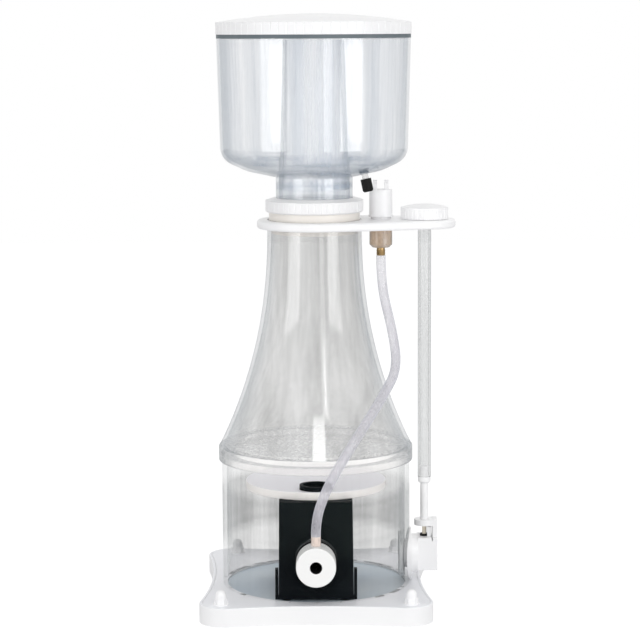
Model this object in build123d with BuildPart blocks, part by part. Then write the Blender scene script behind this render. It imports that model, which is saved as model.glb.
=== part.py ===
from build123d import *
import os
from math import asin, atan, cos, pi, radians, sin, sqrt, tan

os.makedirs("parts", exist_ok=True)

# Protein skimmer: a clear column on a flat base, with the pump inside the column, a flared cone
# above it, a collection cup on the neck and a butterfly valve beside the base for the water level.
# Millimetres. +Z is up, the front is -Y, the level control is at +X.
# The origin is where the column's axis meets the surface that the base stands on.

# ---------------------------------------------------------------- clearances
part_gap = 0.3      # pieces that lift off, slide or turn past each other
bond_gap = 0.1      # round pieces glued or pressed into one another
run_gap = 0.06      # shaft running in its bush

# ---------------------------------------------------------------- base
base_width = 242.0
base_front = 120.0          # corner tips ahead of the column's axis
base_rear = 149.0           # corner tips behind it
base_waist = 9.0            # how far each side is drawn in at its middle
base_corner = 28.0
base_thickness = 20.0
base_edge = 1.2             # rounding of the upper rim
rim_width = 3.0             # tray wall left round the flange plate
flange_thickness = 5.0
floor_thickness = 3.0
bolt_spread_front = 98.0
bolt_spread_rear = 89.0
bolt_inset_front = 17.0
bolt_inset_rear = 22.0
bolt_radius = 3.0
bolt_head_radius = 5.0
bolt_head_height = 4.0
bolt_head_recess = 1.5
bolt_stand = 7.5            # bolt left standing out of the washer
socket_radius = 2.9
socket_depth = 2.2
washer_radius = 8.0
washer_thickness = 1.4
nut_radius = 6.9            # over the corners
nut_hex_height = 5.0
nut_dome_radius = 5.6
nut_height = 14.0

# ---------------------------------------------------------------- column
tube_radius = 100.0
tube_wall = 5.0
tube_height = 141.0
ring_lip = 3.0              # joint ring standing proud of the tube
ring_height = 14.6
ring_socket = 7.0
ring_shelf = 11.0           # shelf inside the ring, under the cone and the bubble plate
ring_groove = 0.8
cone_step = 1.0
cone_wall = 4.0
flare_height = 221.4
neck_radius = 50.0
neck_height = 18.5          # straight neck above the flare
plate_thickness = 3.0
plate_hole_radius = 1.9
plate_hole_rings = 4
plate_ring_step = 6         # more holes in each ring than in the one inside it
plate_rim_share = 0.5       # of a ring's pitch, left plain outside the last ring

# ---------------------------------------------------------------- bracket and neck
bracket_thickness = 9.0
bracket_rim = 10.5          # ring left round the neck
bracket_end_radius = 32.5
bracket_edge = 3.0
neck_ring_spigot = 14.3     # how far the neck ring reaches down into the neck
neck_ring_flange = 7.8
neck_ring_radius = 47.8
neck_ring_ledge = 3.0
thread_radius = 46.4
thread_height = 8.6
oring_radius = 1.7
collar_radius = 51.5
collar_height = 12.3
collar_cone = 2.6           # sloping top of the collar
collar_lip = 2.0
collar_edge = 1.5
collar_flutes = 48
collar_flute_radius = 1.2

# ---------------------------------------------------------------- collection cup
cup_neck_radius = 40.4
cup_neck_wall = 3.0
cup_neck_height = 56.0
bowl_knee_inset = 26.4      # the floor steepens this far inside the foot of the side
bowl_knee_rise = 7.1        # above the neck
bowl_knee_bend = 40.0
bowl_edge_inset = 10.9      # the floor begins to turn up into the side here
bowl_edge_rise = 14.4
cup_radius_top = 101.5
cup_draft = 3.1             # the side is this much narrower at its foot
cup_side_low = 31.0         # start of the straight side, above the bowl's foot
cup_height = 144.4          # rim above the bowl's foot
riser_foot_reach = 13.0     # foot reaching down inside the neck
riser_foot_height = 33.0
riser_wall = 2.6
riser_radius_low = 35.6
riser_radius_top = 32.1
riser_height = 155.5

# ---------------------------------------------------------------- cup lid
lid_overhang = 0.7          # lid's rim outside the cup's
lid_rim_height = 12.6
lid_dome_height = 8.8
lid_wall = 2.6
lid_plug_depth = 4.8
lid_seal_thickness = 4.0
lid_flutes = 72
lid_flute_radius = 1.0
vent_radius = 1.2
vent_ring_inset = 30.2
vent_count = 4
vent_step = 10.0            # degrees
vent_start = -84.0          # degrees from +X

# ---------------------------------------------------------------- cup drain
drain_turn = -20.0          # degrees from +X
drain_set_out = 15.6        # from the outside of the cup's neck
grommet_radius = 5.4
grommet_neck_radius = 4.4
grommet_flange = 2.4
nipple_radius = 3.4
nipple_bore = 2.0
nipple_length = 15.0
drain_cap_radius = 5.6
drain_cap_length = 13.8
drain_cap_gap = 4.8         # nipple left bare between grommet and cap
drain_cap_edge = 2.4
drain_cap_top = 3.0

# ---------------------------------------------------------------- air valve
air_valve_x = 69.8
valve_tail_radius = 6.0
valve_foot_radius = 10.4
valve_foot_height = 2.3
valve_stem_radius = 5.4
air_bore = 2.6
air_cap_radius = 12.15
air_cap_wall = 1.3
air_cap_height = 28.4
air_cap_flange_radius = 13.0
air_cap_flange_height = 1.6
prong_width = 4.2
prong_depth = 13.0
prong_height = 10.0
prong_spread = 12.0
foam_height = 22.0
fitting_radius = 12.0
fitting_height = 20.9
fitting_edge = 3.0
barb_radius = 4.3
barb_ridge = 0.5
barb_height = 8.6
barb_ridges = 3

# ---------------------------------------------------------------- pump
pump_wall_gap = 2.0
stand_width = 85.0
stand_height = 32.0
stand_yoke_depth = 8.0      # upright sides at the pump's front
stand_wall = 3.2
pad_radius = 6.0
pad_inset = 9.0             # pads' centres in from the stand's edges
pad_thickness = 2.0
pump_height = 102.4         # top of the pump above the base
pump_top_width = 76.0
head_depth = 43.0
cover_thickness = 4.0
cover_grooves = 4
cover_groove_pitch = 4.0
cover_groove_depth = 0.6
impeller_axis = 44.0        # above the base
chamber_radius = 27.0
chamber_wall = 4.0
outlet_set_back = 29.0      # centre of the pump's outlet behind the pump's front
outlet_radius = 17.0
outlet_bore = 13.0
outlet_rise = 4.6           # standing above the diffuser disc
outlet_spigot = 5.0
outlet_spigot_radius = 15.0
motor_width = 70.0
motor_height = 78.0
motor_depth = 66.0
motor_edge = 4.0
motor_fins = 6
motor_fin_pitch = 9.0
motor_fin_slot = 4.5
motor_fin_depth = 2.0
well_radius = 14.2
well_depth = 58.0
shaft_radius = 2.5
magnet_radius = 13.0
magnet_length = 50.0
wheel_hub_radius = 8.5
wheel_hub_length = 34.0
wheel_disc_radius = 23.0
wheel_disc_thickness = 2.5
needle_radius = 1.2
needle_length = 19.0
needle_inset = 2.0          # outer needles' axes in from the disc's rim
needle_rings = 3
needle_ring_pitch = 4.4
needle_step = 5             # more needles in each ring than in the one inside it
bush_radius = 4.6
bush_length = 4.0
rear_bush_radius = 6.0
spoke_width = 2.6
spoke_count = 3
spoke_turn = 90.0           # degrees, first spoke upright
intake_radius = 12.0
gland_radius = 6.0
gland_length = 9.0
gland_hex_radius = 9.0
gland_hex_length = 5.0
gland_edge = 2.0
disc_gap = 20.5             # open ring between the disc and the column
disc_thickness = 8.4
disc_edge = 0.8

# ---------------------------------------------------------------- venturi
venturi_radius = 20.4
venturi_reach = 28.0        # in front of the column
venturi_bore = 6.1
venturi_bore_depth = 30.0
venturi_edge = 1.2
groove_width = 1.1
groove_depth = 0.7
groove_pitch = 3.6
groove_reach = 5.0          # first groove, in front of the column
seal_wall = 1.5
seal_proud = 1.2
hose_tail_reach = 15.0      # nipple, in front of the column
hose_tail_height = 9.6
hose_tail_spigot = 5.0
hose_tail_spigot_radius = 3.6
hose_tail_bore = 2.0

# ---------------------------------------------------------------- air hose
hose_radius = 5.0
hose_route = [
    (air_valve_x, 0, 0),        # heights of the two ends follow from the fittings
    (air_valve_x, 0, 338),
    (81.5, -3, 292),
    (87, -18, 252),
    (70, -60, 229),
    (46, -101, 199),
    (25, -113, 168),
    (10, -118, 141),
    (0, -115, 112),
    (0, -115, 0),
]
arc_share = 0.45            # of the shorter run, taken by each arc

# ---------------------------------------------------------------- level valve
port_axis = 29.0            # above the base
port_radius = 13.2
saddle_radius = 28.0
saddle_thickness = 1.6
spigot_wall = 1.8
stub_radius = 21.0
backing_radius = 24.0
backing_reach = 11.5        # from the column's outer face to the ring's inner face
shaft_reach = 15.8          # valve shaft outside the column
block_left = 7.3            # block each side of the shaft
block_right = 8.5
block_depth = 30.0
block_below = 15.8          # block below and above the port's axis
block_above = 19.2
tongue_left = 2.9
tongue_thickness = 4.4
tongue_height = 10.7
tongue_depth = 12.0
slot_depth = 3.2
yoke_thickness = 5.0
yoke_arm_depth = 18.0
yoke_plate_rise = 12.1      # top plate above the block
yoke_plate_thickness = 6.2
yoke_plate_radius = 10.8
yoke_edge = 0.8
stem_radius = 2.25
stem_reach = 9.0            # into the foot of the rod
stem_below = 1.8            # pocket under the port for the foot of the stem
stem_seal_radius = 4.6
stem_seal_thickness = 2.2
butterfly_thickness = 2.4
butterfly_hub_radius = 3.5
rod_radius = 4.3
rod_top = 105.5             # above the base
ferrule_radius = 6.7
ferrule_height = 7.0
ferrule_edge = 2.0
ferrule_spigot = 12.0
rod_tube_radius = 7.0
rod_tube_wall = 1.8
bush_wall = 2.2
bush_flange_radius = 12.0
bush_flange_thickness = 1.4
knob_radius = 25.0
knob_side_height = 12.0
knob_dome_height = 3.4
knob_wall = 3.0
knob_hub_radius = 10.5
knob_top = 3.4
knob_flutes = 30
knob_flute_radius = 1.3

# ---------------------------------------------------------------- worked out from the sizes above
base_top = base_thickness
tube_inner = tube_radius - tube_wall
tube_top = base_top + tube_height
ring_radius = tube_radius + ring_lip
ring_bottom = tube_top - ring_socket
ring_top = ring_bottom + ring_height
cone_radius = ring_radius - cone_step
cone_inner = cone_radius - cone_wall
neck_inner = neck_radius - cone_wall
flare_top = ring_top + flare_height
flare_spread = cone_radius - neck_radius
flare_bend = (flare_height ** 2 + flare_spread ** 2) / (2 * flare_spread)
bracket_top = flare_top + neck_height
bracket_bottom = bracket_top - bracket_thickness
pump_axis = base_top + impeller_axis
port_z = base_top + port_axis
shaft_x = tube_radius + shaft_reach


def flare(height):
    """Outer radius of the flared cone at a height above the joint ring."""
    return neck_radius + flare_bend - sqrt(flare_bend ** 2 - (flare_height - height) ** 2)


def facing_front(y, z=pump_axis):
    """Upright plane across the pump's axis, with its normal towards the front."""
    return Plane((0, y, z), x_dir=(1, 0, 0), z_dir=(0, -1, 0))


def facing_right(x):
    """Upright plane across the outlet port's axis, with its normal towards +X."""
    return Plane((x, 0, port_z), x_dir=(0, 1, 0), z_dir=(1, 0, 0))


def keep(piece, name):
    """Label a finished piece and write it as its own STEP file."""
    piece.part.label = name
    export_step(piece.part, f"parts/{name}.step")


def ring(plane, outer, inner, length):
    """Plain ring, or a disc where inner is 0, standing on a plane."""
    with BuildPart() as piece:
        with BuildSketch(plane):
            Circle(outer)
            if inner:
                Circle(inner, mode=Mode.SUBTRACT)
        extrude(amount=length)
    return piece


def turned(outline, plane=Plane.XZ, axis=Axis.Z):
    """Piece turned about an axis from a closed outline of points."""
    with BuildPart() as piece:
        with BuildSketch(plane):
            with BuildLine():
                Polyline(*outline, close=True)
            make_face()
        revolve(axis=axis)
    return piece


# ================================================================ base
# Four round corner tips joined by hollow sides, each side an arc that touches both its tips.
half_width = base_width / 2
half_depth = (base_front + base_rear) / 2
middle_y = (base_rear - base_front) / 2
tip_x = half_width - base_corner
tip_y = half_depth - base_corner
front_bend = (tip_x ** 2 + base_waist ** 2) / (2 * base_waist)      # side's centre to tip's centre
side_bend = (tip_y ** 2 + base_waist ** 2) / (2 * base_waist)
front_lean = asin(tip_x / front_bend)
side_lean = asin(tip_y / side_bend)
front_touch = (
    tip_x - base_corner * sin(front_lean),
    -tip_y - base_corner * cos(front_lean),
)
side_touch = (
    tip_x + base_corner * cos(side_lean),
    -tip_y + base_corner * sin(side_lean),
)

with BuildSketch(Plane((0, middle_y, 0))) as base_plan:
    with BuildLine():
        RadiusArc((0, base_waist - half_depth), front_touch, front_bend - base_corner)
        RadiusArc(front_touch, side_touch, -base_corner)
        RadiusArc(side_touch, (half_width - base_waist, 0), side_bend - base_corner)
        mirror(about=Plane.XZ)
        mirror(about=Plane.YZ)
    make_face()

with BuildSketch() as pocket_plan:
    add(base_plan.sketch)
    offset(amount=-rim_width)

with BuildSketch() as flange_plan:
    add(base_plan.sketch)
    offset(amount=-rim_width - part_gap)

bolt_front_y = -(base_front - bolt_inset_front)
bolt_rear_y = base_rear - bolt_inset_rear
bolt_spots = [
    (-bolt_spread_front, bolt_front_y),
    (bolt_spread_front, bolt_front_y),
    (bolt_spread_rear, bolt_rear_y),
    (-bolt_spread_rear, bolt_rear_y),
]
pocket_floor = base_top - flange_thickness
head_seat = bolt_head_recess + bolt_head_height

with BuildPart() as base_plate:
    with BuildSketch():
        add(base_plan.sketch)
    extrude(amount=base_thickness)
    fillet(faces().sort_by(Axis.Z)[-1].edges(), base_edge)
    with BuildSketch(Plane.XY.offset(base_top)):
        add(pocket_plan.sketch)
    extrude(amount=-flange_thickness, mode=Mode.SUBTRACT)
    with BuildSketch():
        with Locations(*bolt_spots):
            Circle(bolt_head_radius + part_gap)
    extrude(amount=head_seat, mode=Mode.SUBTRACT)
    with BuildSketch():
        with Locations(*bolt_spots):
            Circle(bolt_radius + bond_gap)
    extrude(amount=base_thickness, mode=Mode.SUBTRACT)
keep(base_plate, "base_plate")

with BuildPart() as flange_plate:
    with BuildSketch(Plane.XY.offset(pocket_floor)):
        add(flange_plan.sketch)
        Circle(tube_inner, mode=Mode.SUBTRACT)
        with Locations(*bolt_spots):
            Circle(bolt_radius + bond_gap, mode=Mode.SUBTRACT)
    extrude(amount=flange_thickness)
keep(flange_plate, "flange_plate")

floor_disc = ring(Plane.XY.offset(pocket_floor), tube_inner - part_gap, 0, floor_thickness)
keep(floor_disc, "floor_disc")

bolt_top = base_top + washer_thickness + bolt_stand
with BuildPart() as base_bolts:
    with BuildSketch(Plane.XY.offset(bolt_head_recess)):
        with Locations(*bolt_spots):
            Circle(bolt_head_radius)
    extrude(amount=bolt_head_height)
    with BuildSketch(Plane.XY.offset(head_seat)):
        with Locations(*bolt_spots):
            Circle(bolt_radius)
    extrude(amount=bolt_top - head_seat)
    with BuildSketch(Plane.XY.offset(bolt_head_recess)):
        with Locations(*bolt_spots):
            RegularPolygon(socket_radius, 6)
    extrude(amount=socket_depth, mode=Mode.SUBTRACT)
keep(base_bolts, "base_bolts")

with BuildPart() as nut_washers:
    with BuildSketch(Plane.XY.offset(base_top)):
        with Locations(*bolt_spots):
            Circle(washer_radius)
            Circle(bolt_radius + bond_gap, mode=Mode.SUBTRACT)
    extrude(amount=washer_thickness)
keep(nut_washers, "nut_washers")

nut_seat = base_top + washer_thickness
with BuildPart() as cap_nut:
    with BuildSketch(Plane.XY.offset(nut_seat)):
        RegularPolygon(nut_radius, 6)
    extrude(amount=nut_hex_height)
    with BuildSketch(Plane.XZ):
        with BuildLine():
            shoulder = nut_seat + nut_height - nut_dome_radius
            Polyline((0, nut_seat), (nut_dome_radius, nut_seat), (nut_dome_radius, shoulder))
            RadiusArc((nut_dome_radius, shoulder), (0, nut_seat + nut_height), -nut_dome_radius)
            Line((0, nut_seat + nut_height), (0, nut_seat))
        make_face()
    revolve(axis=Axis.Z)
    with BuildSketch(Plane.XY.offset(nut_seat)):
        Circle(bolt_radius + bond_gap)
    extrude(amount=bolt_stand + part_gap, mode=Mode.SUBTRACT)

with BuildPart() as cap_nuts:
    with Locations(*bolt_spots):
        add(cap_nut.part)
keep(cap_nuts, "cap_nuts")

# ================================================================ column
seal_radius = venturi_radius + bond_gap + seal_wall
spigot_radius = port_radius + spigot_wall

with BuildPart() as body_tube:
    with BuildSketch(Plane.XY.offset(base_top)):
        Circle(tube_radius)
        Circle(tube_inner, mode=Mode.SUBTRACT)
    extrude(amount=tube_height)
    with BuildSketch(facing_front(0)):
        Circle(seal_radius + bond_gap)
    extrude(amount=ring_radius, mode=Mode.SUBTRACT)
    with BuildSketch(facing_right(0)):
        Circle(spigot_radius + bond_gap)
    extrude(amount=ring_radius, mode=Mode.SUBTRACT)
keep(body_tube, "body_tube")

socket_radius_in = tube_radius + bond_gap
shelf_radius = ring_radius - ring_shelf - ring_lip
joint_ring = turned([
    (ring_radius, ring_bottom),
    (ring_radius, ring_bottom + ring_socket - ring_groove),
    (ring_radius - ring_groove, ring_bottom + ring_socket),
    (ring_radius, ring_bottom + ring_socket + ring_groove),
    (ring_radius, ring_top - cone_step),
    (ring_radius - cone_step, ring_top),
    (shelf_radius, ring_top),
    (shelf_radius, tube_top),
    (socket_radius_in, tube_top),
    (socket_radius_in, ring_bottom),
])
keep(joint_ring, "joint_ring")

with BuildPart() as body_cone:
    with BuildSketch(Plane.XZ):
        with BuildLine():
            TangentArc((neck_radius, flare_top), (cone_radius, ring_top), tangent=(0, -1))
            Line((cone_radius, ring_top), (cone_inner, ring_top))
            TangentArc((neck_inner, flare_top), (cone_inner, ring_top), tangent=(0, -1))
            Polyline(
                (neck_inner, flare_top),
                (neck_inner, bracket_top),
                (neck_radius, bracket_top),
                (neck_radius, flare_top),
            )
        make_face()
    revolve(axis=Axis.Z)
keep(body_cone, "body_cone")

plate_radius = flare(plate_thickness) - cone_wall - part_gap
hole_ring_pitch = (shelf_radius - plate_hole_radius) / (plate_hole_rings + plate_rim_share)
with BuildPart() as bubble_plate:
    with BuildSketch(Plane.XY.offset(ring_top)):
        Circle(plate_radius)
        Circle(plate_hole_radius, mode=Mode.SUBTRACT)
        for hole_ring in range(1, plate_hole_rings + 1):
            with PolarLocations(hole_ring * hole_ring_pitch, plate_ring_step * hole_ring):
                Circle(plate_hole_radius, mode=Mode.SUBTRACT)
    extrude(amount=plate_thickness)
keep(bubble_plate, "bubble_plate")

# ================================================================ bracket and neck
with BuildPart() as bracket:
    with BuildSketch(Plane.XY.offset(bracket_bottom)):
        Circle(neck_radius + bracket_rim)
        with Locations((shaft_x, 0)):
            Circle(bracket_end_radius)
        make_hull()
    extrude(amount=bracket_thickness)
    fillet(faces().filter_by(Axis.Z).edges(), bracket_edge)
    with BuildSketch(Plane.XY.offset(bracket_bottom)):
        Circle(neck_radius + bond_gap)
        with Locations((shaft_x, 0)):
            Circle(rod_tube_radius + run_gap + bush_wall + bond_gap)
        with Locations((air_valve_x, 0)):
            Circle(valve_tail_radius + bond_gap)
    extrude(amount=bracket_thickness, mode=Mode.SUBTRACT)
keep(bracket, "bracket")

ring_foot = bracket_top - neck_ring_spigot
ring_shoulder = bracket_top + neck_ring_flange
ring_head = ring_shoulder + thread_height
cup_slide_radius = cup_neck_radius + part_gap
cup_neck_inner = cup_neck_radius - cup_neck_wall
neck_ring = turned([
    (neck_inner - bond_gap, ring_foot),
    (neck_inner - bond_gap, bracket_top),
    (neck_ring_radius, bracket_top),
    (neck_ring_radius, ring_shoulder),
    (thread_radius, ring_shoulder),
    (thread_radius, ring_head),
    (cup_slide_radius, ring_head),
    (cup_slide_radius, ring_foot + neck_ring_ledge),
    (cup_neck_inner, ring_foot + neck_ring_ledge),
    (cup_neck_inner, ring_foot),
])
keep(neck_ring, "neck_ring")

with BuildPart() as cup_oring:
    with BuildSketch(Plane.XZ):
        with Locations((cup_slide_radius + oring_radius, ring_head + oring_radius)):
            Circle(oring_radius)
    revolve(axis=Axis.Z)
keep(cup_oring, "cup_oring")

collar_foot = ring_shoulder + part_gap
collar_side = collar_foot + collar_height
collar_ceiling = ring_head + 2 * oring_radius + part_gap
with BuildPart() as union_collar:
    with BuildSketch(Plane.XZ):
        with BuildLine():
            Polyline(
                (thread_radius + part_gap, collar_foot),
                (collar_radius - collar_edge, collar_foot),
                (collar_radius, collar_foot + collar_edge),
                (collar_radius, collar_side),
                (cup_slide_radius + part_gap + collar_lip, collar_side + collar_cone),
                (cup_slide_radius + part_gap, collar_side + collar_cone),
                (cup_slide_radius + part_gap, collar_ceiling),
                (thread_radius + part_gap, collar_ceiling),
                close=True,
            )
        make_face()
    revolve(axis=Axis.Z)
    with BuildSketch(Plane.XY.offset(collar_foot + collar_edge)):
        with PolarLocations(collar_radius + collar_flute_radius / 2, collar_flutes):
            Circle(collar_flute_radius)
    extrude(amount=collar_side - collar_foot - 2 * collar_edge, mode=Mode.SUBTRACT)
keep(union_collar, "union_collar")

# ================================================================ collection cup
cup_foot = ring_foot + neck_ring_ledge
bowl_foot = cup_foot + cup_neck_height
cup_rim = bowl_foot + cup_height
cup_radius_low = cup_radius_top - cup_draft
bowl_knee_radius = cup_radius_low - bowl_knee_inset
bowl_edge_radius = cup_radius_low - bowl_edge_inset
drain_radius = cup_neck_radius + drain_set_out
bowl_slope = bowl_knee_rise / (bowl_knee_radius - cup_neck_radius)
side_slope = cup_draft / (cup_height - cup_side_low)

# The drain stands square to the bowl's floor.
drain_angle = radians(drain_turn)
drain_lean = atan(bowl_slope)
outward = (cos(drain_angle), sin(drain_angle))
drain_point = Vector(
    drain_radius * outward[0],
    drain_radius * outward[1],
    bowl_foot + bowl_slope * (drain_radius - cup_neck_radius),
)
drain_down = Vector(sin(drain_lean) * outward[0], sin(drain_lean) * outward[1], -cos(drain_lean))


def across_drain(distance):
    """Plane across the drain's axis, at a distance down it from the bowl's outer face."""
    return Plane(drain_point + drain_down * distance, z_dir=drain_down)


with BuildPart() as cup_shell:
    with BuildSketch(Plane.XZ):
        with BuildLine():
            Line((cup_neck_radius, cup_foot), (cup_neck_radius, bowl_foot))
            floor = FilletPolyline(
                (cup_neck_radius, bowl_foot),
                (bowl_knee_radius, bowl_foot + bowl_knee_rise),
                (bowl_edge_radius, bowl_foot + bowl_edge_rise),
                radius=bowl_knee_bend,
            )
            side_foot = (cup_radius_low, bowl_foot + cup_side_low)
            TangentArc(side_foot, floor @ 1, tangent=(-side_slope, -1))
            Line(
                side_foot,
                (cup_radius_top + side_slope * cup_neck_wall, cup_rim + cup_neck_wall),
            )
            offset(amount=cup_neck_wall, side=Side.LEFT)
        make_face()
    revolve(axis=Axis.Z)
    split(bisect_by=Plane.XY.offset(cup_rim), keep=Keep.BOTTOM)
    with BuildSketch(across_drain(-2 * cup_neck_wall)):
        Circle(grommet_neck_radius + bond_gap)
    extrude(amount=3 * cup_neck_wall, mode=Mode.SUBTRACT)
keep(cup_shell, "cup_shell")

riser_foot = bowl_foot - riser_foot_reach
riser_step = riser_foot + riser_foot_height
riser_top = riser_foot + riser_height
riser_foot_radius = cup_neck_inner - part_gap
riser_tube = turned([
    (riser_foot_radius, riser_foot),
    (riser_foot_radius, riser_step),
    (riser_radius_low, riser_step + (riser_foot_radius - riser_radius_low)),
    (riser_radius_top, riser_top),
    (riser_radius_top - riser_wall, riser_top),
    (riser_radius_low - riser_wall, riser_step),
    (riser_foot_radius - riser_wall, riser_foot),
])
keep(riser_tube, "riser_tube")

# ---------------------------------------------------------------- cup drain
inside = -(cup_neck_wall + part_gap)
with BuildPart() as drain_grommet:
    with BuildSketch(across_drain(inside)):
        Circle(grommet_neck_radius)
    extrude(amount=cup_neck_wall)
    with BuildSketch(across_drain(inside - grommet_flange)):
        Circle(grommet_radius)
    extrude(amount=grommet_flange)
    with BuildSketch(across_drain(inside - grommet_flange)):
        Circle(nipple_radius + bond_gap)
    extrude(amount=grommet_flange + cup_neck_wall, mode=Mode.SUBTRACT)
keep(drain_grommet, "drain_grommet")

drain_nipple = ring(across_drain(inside - grommet_flange), nipple_radius, nipple_bore, nipple_length)
keep(drain_nipple, "drain_nipple")

with BuildPart() as drain_cap:
    with BuildSketch(across_drain(drain_cap_gap)):
        Circle(drain_cap_radius)
    extrude(amount=drain_cap_length)
    fillet(edges().sort_by(Axis.Z)[0], drain_cap_edge)
    with BuildSketch(across_drain(drain_cap_gap)):
        Circle(nipple_radius + part_gap)
    extrude(amount=drain_cap_length - drain_cap_top, mode=Mode.SUBTRACT)
keep(drain_cap, "drain_cap")

# ================================================================ cup lid
lid_radius = cup_radius_top + lid_overhang
lid_foot = cup_rim + lid_seal_thickness
lid_side = lid_foot + lid_rim_height
lid_top = lid_side + lid_dome_height
plug_radius = cup_radius_top - cup_neck_wall - 2 * part_gap
plug_foot = lid_foot - lid_plug_depth
vent_ring_radius = lid_radius - vent_ring_inset
dome_bend = (lid_radius ** 2 + lid_dome_height ** 2) / (2 * lid_dome_height)
with BuildPart() as cup_lid:
    with BuildSketch(Plane.XZ):
        with BuildLine():
            Polyline(
                (plug_radius, plug_foot),
                (plug_radius, lid_foot),
                (lid_radius, lid_foot),
                (lid_radius, lid_side),
            )
            RadiusArc((lid_radius, lid_side), (0, lid_top), -dome_bend)
            Line((0, lid_top), (0, lid_top - lid_wall))
            RadiusArc((0, lid_top - lid_wall), (plug_radius - lid_wall, lid_side - lid_wall), dome_bend)
            Polyline(
                (plug_radius - lid_wall, lid_side - lid_wall),
                (plug_radius - lid_wall, plug_foot),
                (plug_radius, plug_foot),
            )
        make_face()
    revolve(axis=Axis.Z)
    with BuildSketch(Plane.XY.offset(lid_foot)):
        with PolarLocations(lid_radius + lid_flute_radius / 2, lid_flutes):
            Circle(lid_flute_radius)
    extrude(amount=lid_rim_height, mode=Mode.SUBTRACT)
    with BuildSketch(Plane.XY.offset(lid_side)):
        with PolarLocations(vent_ring_radius, vent_count, vent_start, vent_step * (vent_count - 1)):
            Circle(vent_radius)
    extrude(amount=lid_dome_height, mode=Mode.SUBTRACT)
keep(cup_lid, "cup_lid")

lid_seal = ring(
    Plane.XY.offset(cup_rim), cup_radius_top, plug_radius + part_gap, lid_seal_thickness
)
keep(lid_seal, "lid_seal")

# ================================================================ air valve
valve_axis = Axis((air_valve_x, 0, 0), (0, 0, 1))


def on_air_valve(z):
    """Level plane centred on the air valve."""
    return Plane((air_valve_x, 0, z))


foot_top = bracket_top + valve_foot_height
air_cap_foot = foot_top + part_gap
air_cap_top = air_cap_foot + air_cap_height
air_cap_ceiling = air_cap_top - 2 * air_cap_wall
with BuildPart() as air_valve_body:
    with BuildSketch(on_air_valve(bracket_bottom)):
        Circle(valve_tail_radius)
    extrude(amount=bracket_thickness)
    with BuildSketch(on_air_valve(bracket_top)):
        Circle(valve_foot_radius)
    extrude(amount=valve_foot_height)
    with BuildSketch(on_air_valve(foot_top)):
        Circle(valve_stem_radius)
    extrude(amount=air_cap_ceiling - foot_top - part_gap)
    with BuildSketch(on_air_valve(bracket_bottom)):
        Circle(air_bore)
    extrude(amount=air_cap_top - bracket_bottom, mode=Mode.SUBTRACT)
keep(air_valve_body, "air_valve_body")

silencer_foam = ring(
    on_air_valve(foot_top),
    air_cap_radius - air_cap_wall - part_gap,
    valve_stem_radius + part_gap,
    foam_height,
)
keep(silencer_foam, "silencer_foam")

with BuildPart() as air_valve_cap:
    with BuildSketch(on_air_valve(air_cap_foot)):
        Circle(air_cap_flange_radius)
    extrude(amount=air_cap_flange_height)
    with BuildSketch(on_air_valve(air_cap_foot)):
        Circle(air_cap_radius)
    extrude(amount=air_cap_height)
    with BuildSketch(on_air_valve(air_cap_foot)):
        Circle(air_cap_radius - air_cap_wall)
    extrude(amount=air_cap_ceiling - air_cap_foot, mode=Mode.SUBTRACT)
    with BuildSketch(Plane.XZ.offset(-prong_depth / 2)):
        with Locations(
            (air_valve_x - prong_spread / 2, air_cap_top + prong_height / 2),
            (air_valve_x + prong_spread / 2, air_cap_top + prong_height / 2),
        ):
            Rectangle(prong_width, prong_height)
    extrude(amount=prong_depth)
    prong_tips = edges().filter_by(Axis.X).group_by(Axis.Z)[-1]
    fillet(prong_tips, prong_depth / 2 - part_gap)
keep(air_valve_cap, "air_valve_cap")

fitting_foot = bracket_bottom - fitting_height
with BuildPart() as hose_fitting:
    with BuildSketch(on_air_valve(fitting_foot)):
        Circle(fitting_radius)
    extrude(amount=fitting_height)
    chamfer(edges().sort_by(Axis.Z)[0], fitting_edge)
    with BuildSketch(on_air_valve(fitting_foot)):
        Circle(air_bore)
    extrude(amount=fitting_height, mode=Mode.SUBTRACT)
keep(hose_fitting, "hose_fitting")

barb_foot = fitting_foot - barb_height
barb_step = barb_height / barb_ridges
with BuildPart() as hose_barb:
    with BuildSketch(Plane.XZ):
        with BuildLine():
            Polyline(
                (air_valve_x + air_bore, barb_foot),
                (air_valve_x + barb_radius, barb_foot),
                (air_valve_x + barb_radius + barb_ridge, barb_foot + barb_step),
                (air_valve_x + barb_radius, barb_foot + barb_step),
                (air_valve_x + barb_radius + barb_ridge, barb_foot + 2 * barb_step),
                (air_valve_x + barb_radius, barb_foot + 2 * barb_step),
                (air_valve_x + barb_radius, fitting_foot),
                (air_valve_x + air_bore, fitting_foot),
                close=True,
            )
        make_face()
    revolve(axis=valve_axis)
keep(hose_barb, "hose_barb")

# ================================================================ pump
stand_half = stand_width / 2
pump_front = -(sqrt(tube_inner ** 2 - stand_half ** 2) - pump_wall_gap)
cover_back = pump_front + cover_thickness
head_back = cover_back + head_depth
motor_back = head_back + motor_depth
chamber_back = head_back - chamber_wall
floor_top = pocket_floor + floor_thickness
stand_foot = floor_top + pad_thickness
pump_foot = stand_foot + stand_wall
pump_top = base_top + pump_height
pump_width = stand_width - 2 * (stand_wall + part_gap)
outlet_y = pump_front + outlet_set_back


def pump_block(y):
    """Face of the pump's tapering block, on an upright plane at y."""
    with BuildSketch(Plane.XZ.offset(-y)) as block:
        with BuildLine():
            Polyline(
                (-pump_width / 2, pump_foot),
                (pump_width / 2, pump_foot),
                (pump_top_width / 2, pump_top),
                (-pump_top_width / 2, pump_top),
                close=True,
            )
        make_face()
    return block


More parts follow.
